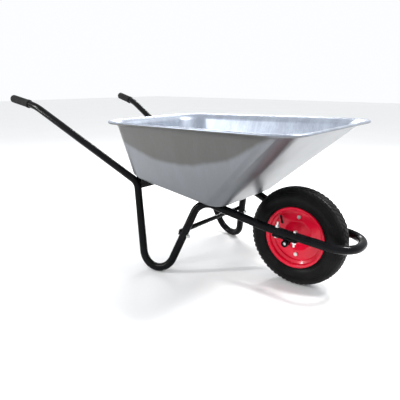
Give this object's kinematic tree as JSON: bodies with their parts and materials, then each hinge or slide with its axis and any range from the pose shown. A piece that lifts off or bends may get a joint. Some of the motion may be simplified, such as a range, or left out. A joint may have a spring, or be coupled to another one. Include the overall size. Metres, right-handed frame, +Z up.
{
  "type": "wheelbarrow",
  "caption": "Builder's wheelbarrow: pressed steel tray with a rolled rim on a bent tube frame with leg loops, rubber grips and a pneumatic front wheel in a nose hoop.",
  "frame": {"origin": "on the ground, below the middle of the whole length and width", "axes": "+X forwards towards the wheel, +Y to the user's left, +Z up"},
  "size_m": [1.5421, 0.671, 0.6486],
  "materials": {
    "galvanised_sheet": "galvanised pressed sheet",
    "frame_paint": "gloss black enamel",
    "grip_rubber": "moulded rubber",
    "rim_paint": "gloss red enamel",
    "tyre_rubber": "moulded tyre rubber",
    "tube_rubber": "butyl rubber",
    "zinc_plate": "zinc plated",
    "bearing_steel": "ground steel"
  },
  "bodies": {
    "frame": {"tray": "galvanised_sheet", "side_tube_left": "frame_paint", "side_tube_right": "frame_paint", "front_hoop": "frame_paint", "grip_left": "grip_rubber", "grip_right": "grip_rubber", "rear_cross_support": "frame_paint", "front_cross_support": "frame_paint", "leg_brace": "frame_paint", "brace_bolts": "zinc_plate", "brace_nuts": "zinc_plate", "tray_bolts": "zinc_plate", "tray_washers": "zinc_plate", "tray_nuts": "zinc_plate", "axle_bracket_left": "frame_paint", "axle_bracket_right": "frame_paint", "bracket_bolts": "zinc_plate", "bracket_washers": "zinc_plate", "bracket_nuts": "zinc_plate", "axle": "zinc_plate", "axle_spacers": "zinc_plate", "bearing_inner_rings": "bearing_steel"},
    "wheel": {"tyre": "tyre_rubber", "inner_tube": "tube_rubber", "rim_left": "rim_paint", "rim_right": "rim_paint", "rim_bolts": "zinc_plate", "rim_nuts": "zinc_plate", "hub_tube": "rim_paint", "bearing_outer_rings": "bearing_steel", "bearing_balls": "bearing_steel", "bearing_shields": "bearing_steel", "valve_stem": "grip_rubber", "valve_cap": "grip_rubber"}
  },
  "joints": [
    {"name": "wheel_spin", "type": "hinge", "parent": "frame", "child": "wheel", "pos_m": [0.53508, 0, 0.18], "axis": [0, 1, 0], "continuous": true}
  ]
}
